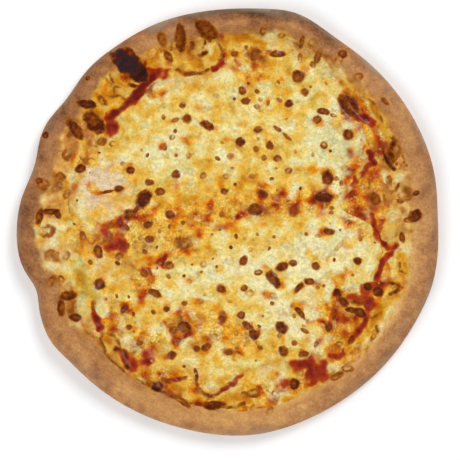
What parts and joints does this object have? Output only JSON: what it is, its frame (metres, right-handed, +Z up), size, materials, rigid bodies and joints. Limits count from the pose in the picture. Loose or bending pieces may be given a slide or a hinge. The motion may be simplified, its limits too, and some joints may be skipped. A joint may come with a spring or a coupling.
{
  "type": "cheese pizza",
  "caption": "Whole round pizza lying flat: uneven puffed and browned rim, tomato sauce, and a melted sheet of cheese with browned bubbles.",
  "frame": {"origin": "on the table, under the middle of the pizza's box", "axes": "+Z up out of the topping, +X to the right and +Y to the top of the picture"},
  "size_m": [0.2958, 0.2996, 0.0218],
  "materials": {
    "baked_dough": "matt baked bread",
    "sauce": "wet and glossy",
    "cheese": "oily melted cheese"
  },
  "bodies": {
    "root": {"dough_crust": "baked_dough", "tomato_sauce": "sauce", "melted_cheese": "cheese", "cheese_scrap": "cheese"}
  },
  "joints": []
}
